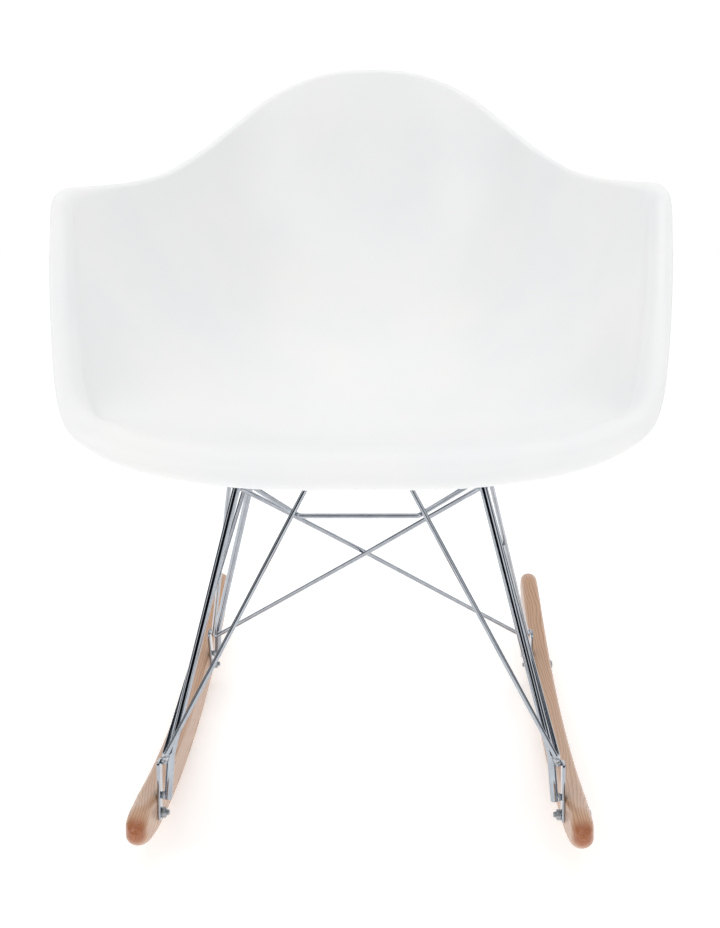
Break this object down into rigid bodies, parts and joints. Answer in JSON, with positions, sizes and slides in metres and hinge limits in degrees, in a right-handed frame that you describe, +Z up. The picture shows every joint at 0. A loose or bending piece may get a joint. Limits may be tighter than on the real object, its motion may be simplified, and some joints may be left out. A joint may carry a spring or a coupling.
{
  "type": "rocking armchair",
  "caption": "Rocking armchair: white moulded plastic tub seat with rolled front lip and low arms on a braced metal wire base bolted to two curved wooden runners.",
  "frame": {"origin": "on the floor plane, midway between the two runners and midway along them", "axes": "+Z up, the chair faces -Y, +X towards the chair's left arm as seen by a person sitting in it"},
  "size_m": [0.617, 0.6908, 0.7509],
  "materials": {
    "shell": "white polypropylene with a fine satin grain",
    "plated_wire": "bright plated steel wire and strip",
    "zinc": "zinc plated fasteners",
    "runner_wood": "clear satin varnish on pale hardwood",
    "rubber": "plain black rubber",
    "brass": "plain"
  },
  "bodies": {
    "root": {"seat_shell": "shell", "shell_inserts": "brass", "rubber_rings": "rubber", "seat_screws": "zinc", "mount_tab_front_left": "plated_wire", "mount_tab_front_right": "plated_wire", "mount_tab_rear_left": "plated_wire", "mount_tab_rear_right": "plated_wire", "front_leg_left": "plated_wire", "front_leg_right": "plated_wire", "rear_leg_left": "plated_wire", "rear_leg_right": "plated_wire", "top_rail_left": "plated_wire", "top_rail_right": "plated_wire", "front_side_brace_left": "plated_wire", "front_side_brace_right": "plated_wire", "front_inner_brace_left": "plated_wire", "front_inner_brace_right": "plated_wire", "front_arch_bar": "plated_wire", "rear_side_brace_left": "plated_wire", "rear_side_brace_right": "plated_wire", "rear_cross_brace_left": "plated_wire", "rear_cross_brace_right": "plated_wire", "spreader_bar": "plated_wire", "spreader_arm_left": "plated_wire", "spreader_arm_right": "plated_wire", "foot_plate_front_left": "plated_wire", "foot_plate_front_right": "plated_wire", "foot_plate_rear_left": "plated_wire", "foot_plate_rear_right": "plated_wire", "foot_welds": "plated_wire", "runner_left": "runner_wood", "runner_right": "runner_wood", "runner_bolts": "zinc", "runner_washers": "zinc", "runner_nuts": "zinc"}
  },
  "joints": []
}
